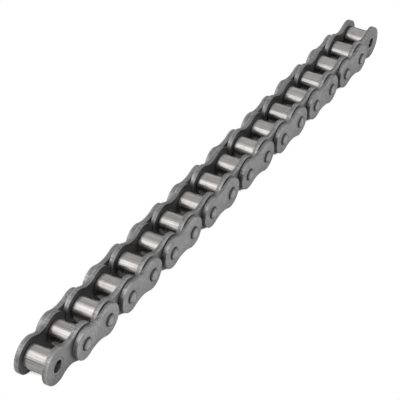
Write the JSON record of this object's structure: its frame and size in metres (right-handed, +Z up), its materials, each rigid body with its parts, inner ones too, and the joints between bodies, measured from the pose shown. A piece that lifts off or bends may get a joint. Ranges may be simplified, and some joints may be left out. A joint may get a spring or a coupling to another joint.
{
  "type": "roller chain",
  "caption": "Straight run of simplex roller chain: waisted inner and outer link plates on bushes and riveted pins, free-turning rollers between them, an open bush at each end.",
  "frame": {"origin": "centre of the open bush bore at the near end, midway between the plates", "axes": "+X along the straight chain from the near end to the far end, Y along the pins and bushes, +Z up across the plates, so the chain stands on its plate edges"},
  "size_m": [0.456, 0.0316, 0.024],
  "materials": {
    "inner_plate_steel": "matt grey, shot-peened stamped steel with paler worn edges",
    "bush_steel": "turned steel, satin",
    "outer_plate_steel": "matt grey, shot-peened stamped steel with paler worn edges",
    "pin_steel": "ground steel with a riveted end, satin",
    "roller_steel": "bright, tumbled and polished steel"
  },
  "bodies": {
    "inner_link_01": {"inner_plates_01": "inner_plate_steel", "bushes_01": "bush_steel"},
    "outer_link_01": {"outer_plates_01": "outer_plate_steel", "pins_01": "pin_steel"},
    "inner_link_02": {"inner_plates_02": "inner_plate_steel", "bushes_02": "bush_steel"},
    "outer_link_02": {"outer_plates_02": "outer_plate_steel", "pins_02": "pin_steel"},
    "inner_link_03": {"inner_plates_03": "inner_plate_steel", "bushes_03": "bush_steel"},
    "outer_link_03": {"outer_plates_03": "outer_plate_steel", "pins_03": "pin_steel"},
    "inner_link_04": {"inner_plates_04": "inner_plate_steel", "bushes_04": "bush_steel"},
    "outer_link_04": {"outer_plates_04": "outer_plate_steel", "pins_04": "pin_steel"},
    "inner_link_05": {"inner_plates_05": "inner_plate_steel", "bushes_05": "bush_steel"},
    "outer_link_05": {"outer_plates_05": "outer_plate_steel", "pins_05": "pin_steel"},
    "inner_link_06": {"inner_plates_06": "inner_plate_steel", "bushes_06": "bush_steel"},
    "outer_link_06": {"outer_plates_06": "outer_plate_steel", "pins_06": "pin_steel"},
    "inner_link_07": {"inner_plates_07": "inner_plate_steel", "bushes_07": "bush_steel"},
    "outer_link_07": {"outer_plates_07": "outer_plate_steel", "pins_07": "pin_steel"},
    "inner_link_08": {"inner_plates_08": "inner_plate_steel", "bushes_08": "bush_steel"},
    "outer_link_08": {"outer_plates_08": "outer_plate_steel", "pins_08": "pin_steel"},
    "inner_link_09": {"inner_plates_09": "inner_plate_steel", "bushes_09": "bush_steel"},
    "roller_body_01": {"roller_01": "roller_steel"},
    "roller_body_02": {"roller_02": "roller_steel"},
    "roller_body_03": {"roller_03": "roller_steel"},
    "roller_body_04": {"roller_04": "roller_steel"},
    "roller_body_05": {"roller_05": "roller_steel"},
    "roller_body_06": {"roller_06": "roller_steel"},
    "roller_body_07": {"roller_07": "roller_steel"},
    "roller_body_08": {"roller_08": "roller_steel"},
    "roller_body_09": {"roller_09": "roller_steel"},
    "roller_body_10": {"roller_10": "roller_steel"},
    "roller_body_11": {"roller_11": "roller_steel"},
    "roller_body_12": {"roller_12": "roller_steel"},
    "roller_body_13": {"roller_13": "roller_steel"},
    "roller_body_14": {"roller_14": "roller_steel"},
    "roller_body_15": {"roller_15": "roller_steel"},
    "roller_body_16": {"roller_16": "roller_steel"},
    "roller_body_17": {"roller_17": "roller_steel"},
    "roller_body_18": {"roller_18": "roller_steel"}
  },
  "joints": [
    {"name": "link_hinge_01", "type": "hinge", "parent": "inner_link_01", "child": "outer_link_01", "pos_m": [0.0254, 0, 0], "axis": [0, -1, 0], "range_deg": [-120, 120]},
    {"name": "link_hinge_02", "type": "hinge", "parent": "outer_link_01", "child": "inner_link_02", "pos_m": [0.0508, 0, 0], "axis": [0, 1, 0], "range_deg": [-120, 120]},
    {"name": "link_hinge_03", "type": "hinge", "parent": "inner_link_02", "child": "outer_link_02", "pos_m": [0.0762, 0, 0], "axis": [0, -1, 0], "range_deg": [-120, 120]},
    {"name": "link_hinge_04", "type": "hinge", "parent": "outer_link_02", "child": "inner_link_03", "pos_m": [0.1016, 0, 0], "axis": [0, 1, 0], "range_deg": [-120, 120]},
    {"name": "link_hinge_05", "type": "hinge", "parent": "inner_link_03", "child": "outer_link_03", "pos_m": [0.127, 0, 0], "axis": [0, -1, 0], "range_deg": [-120, 120]},
    {"name": "link_hinge_06", "type": "hinge", "parent": "outer_link_03", "child": "inner_link_04", "pos_m": [0.1524, 0, 0], "axis": [0, 1, 0], "range_deg": [-120, 120]},
    {"name": "link_hinge_07", "type": "hinge", "parent": "inner_link_04", "child": "outer_link_04", "pos_m": [0.1778, 0, 0], "axis": [0, -1, 0], "range_deg": [-120, 120]},
    {"name": "link_hinge_08", "type": "hinge", "parent": "outer_link_04", "child": "inner_link_05", "pos_m": [0.2032, 0, 0], "axis": [0, 1, 0], "range_deg": [-120, 120]},
    {"name": "link_hinge_09", "type": "hinge", "parent": "inner_link_05", "child": "outer_link_05", "pos_m": [0.2286, 0, 0], "axis": [0, -1, 0], "range_deg": [-120, 120]},
    {"name": "link_hinge_10", "type": "hinge", "parent": "outer_link_05", "child": "inner_link_06", "pos_m": [0.254, 0, 0], "axis": [0, 1, 0], "range_deg": [-120, 120]},
    {"name": "link_hinge_11", "type": "hinge", "parent": "inner_link_06", "child": "outer_link_06", "pos_m": [0.2794, 0, 0], "axis": [0, -1, 0], "range_deg": [-120, 120]},
    {"name": "link_hinge_12", "type": "hinge", "parent": "outer_link_06", "child": "inner_link_07", "pos_m": [0.3048, 0, 0], "axis": [0, 1, 0], "range_deg": [-120, 120]},
    {"name": "link_hinge_13", "type": "hinge", "parent": "inner_link_07", "child": "outer_link_07", "pos_m": [0.3302, 0, 0], "axis": [0, -1, 0], "range_deg": [-120, 120]},
    {"name": "link_hinge_14", "type": "hinge", "parent": "outer_link_07", "child": "inner_link_08", "pos_m": [0.3556, 0, 0], "axis": [0, 1, 0], "range_deg": [-120, 120]},
    {"name": "link_hinge_15", "type": "hinge", "parent": "inner_link_08", "child": "outer_link_08", "pos_m": [0.381, 0, 0], "axis": [0, -1, 0], "range_deg": [-120, 120]},
    {"name": "link_hinge_16", "type": "hinge", "parent": "outer_link_08", "child": "inner_link_09", "pos_m": [0.4064, 0, 0], "axis": [0, 1, 0], "range_deg": [-120, 120]},
    {"name": "roller_spin_01", "type": "hinge", "parent": "inner_link_01", "child": "roller_body_01", "pos_m": [0, 0, 0], "axis": [0, 1, 0], "continuous": true},
    {"name": "roller_spin_02", "type": "hinge", "parent": "inner_link_01", "child": "roller_body_02", "pos_m": [0.0254, 0, 0], "axis": [0, 1, 0], "continuous": true},
    {"name": "roller_spin_03", "type": "hinge", "parent": "inner_link_02", "child": "roller_body_03", "pos_m": [0.0508, 0, 0], "axis": [0, 1, 0], "continuous": true},
    {"name": "roller_spin_04", "type": "hinge", "parent": "inner_link_02", "child": "roller_body_04", "pos_m": [0.0762, 0, 0], "axis": [0, 1, 0], "continuous": true},
    {"name": "roller_spin_05", "type": "hinge", "parent": "inner_link_03", "child": "roller_body_05", "pos_m": [0.1016, 0, 0], "axis": [0, 1, 0], "continuous": true},
    {"name": "roller_spin_06", "type": "hinge", "parent": "inner_link_03", "child": "roller_body_06", "pos_m": [0.127, 0, 0], "axis": [0, 1, 0], "continuous": true},
    {"name": "roller_spin_07", "type": "hinge", "parent": "inner_link_04", "child": "roller_body_07", "pos_m": [0.1524, 0, 0], "axis": [0, 1, 0], "continuous": true},
    {"name": "roller_spin_08", "type": "hinge", "parent": "inner_link_04", "child": "roller_body_08", "pos_m": [0.1778, 0, 0], "axis": [0, 1, 0], "continuous": true},
    {"name": "roller_spin_09", "type": "hinge", "parent": "inner_link_05", "child": "roller_body_09", "pos_m": [0.2032, 0, 0], "axis": [0, 1, 0], "continuous": true},
    {"name": "roller_spin_10", "type": "hinge", "parent": "inner_link_05", "child": "roller_body_10", "pos_m": [0.2286, 0, 0], "axis": [0, 1, 0], "continuous": true},
    {"name": "roller_spin_11", "type": "hinge", "parent": "inner_link_06", "child": "roller_body_11", "pos_m": [0.254, 0, 0], "axis": [0, 1, 0], "continuous": true},
    {"name": "roller_spin_12", "type": "hinge", "parent": "inner_link_06", "child": "roller_body_12", "pos_m": [0.2794, 0, 0], "axis": [0, 1, 0], "continuous": true},
    {"name": "roller_spin_13", "type": "hinge", "parent": "inner_link_07", "child": "roller_body_13", "pos_m": [0.3048, 0, 0], "axis": [0, 1, 0], "continuous": true},
    {"name": "roller_spin_14", "type": "hinge", "parent": "inner_link_07", "child": "roller_body_14", "pos_m": [0.3302, 0, 0], "axis": [0, 1, 0], "continuous": true},
    {"name": "roller_spin_15", "type": "hinge", "parent": "inner_link_08", "child": "roller_body_15", "pos_m": [0.3556, 0, 0], "axis": [0, 1, 0], "continuous": true},
    {"name": "roller_spin_16", "type": "hinge", "parent": "inner_link_08", "child": "roller_body_16", "pos_m": [0.381, 0, 0], "axis": [0, 1, 0], "continuous": true},
    {"name": "roller_spin_17", "type": "hinge", "parent": "inner_link_09", "child": "roller_body_17", "pos_m": [0.4064, 0, 0], "axis": [0, 1, 0], "continuous": true},
    {"name": "roller_spin_18", "type": "hinge", "parent": "inner_link_09", "child": "roller_body_18", "pos_m": [0.4318, 0, 0], "axis": [0, 1, 0], "continuous": true}
  ]
}
